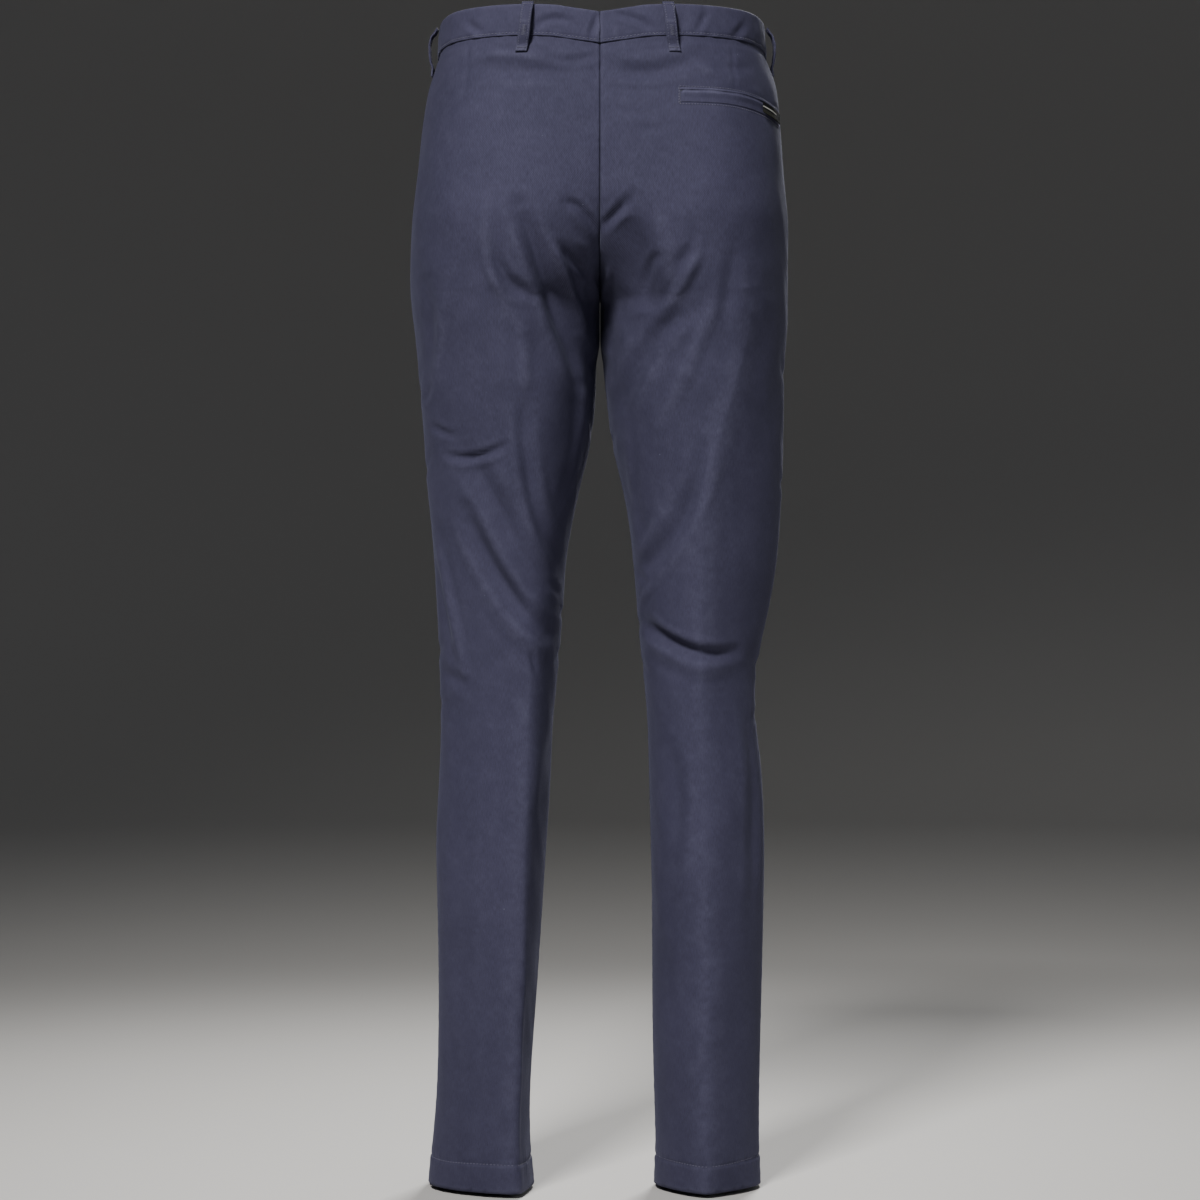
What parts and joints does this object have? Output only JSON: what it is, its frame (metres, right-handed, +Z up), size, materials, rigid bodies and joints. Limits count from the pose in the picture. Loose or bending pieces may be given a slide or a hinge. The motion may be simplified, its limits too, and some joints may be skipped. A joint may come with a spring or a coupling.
{
  "type": "chino trousers",
  "caption": "Men's slim chino trousers in navy twill, closed at the waist and hollow, holding the shape they have when worn.",
  "frame": {"origin": "centre of the waist opening, at the middle of the waistband's height at the sides", "axes": "+Z up along the body, -Y to the wearer's front, +Y to the back, +X to the wearer's left"},
  "size_m": [0.344, 0.2515, 1.0544],
  "materials": {
    "twill": "matt cotton twill with a slight bloom",
    "tab": "satin",
    "button": "satin horn-like resin",
    "zip_tape": "woven tape",
    "zip_metal": "antique metal"
  },
  "bodies": {
    "root": {"back_left": "twill", "back_right": "twill", "front_left": "twill", "front_right": "twill", "waistband_left": "twill", "waistband_right": "twill", "belt_loop_back_left": "twill", "belt_loop_back_right": "twill", "belt_loop_side_left": "twill", "belt_loop_side_right": "twill", "belt_loop_front_left": "twill", "belt_loop_front_right": "twill", "back_pocket_welt": "twill", "pocket_facing_left": "twill", "pocket_facing_right": "twill", "fly_shield": "twill", "back_pocket_tab": "tab", "waist_button": "button", "zip": "zip_tape", "zip_slider": "zip_metal"}
  },
  "joints": []
}
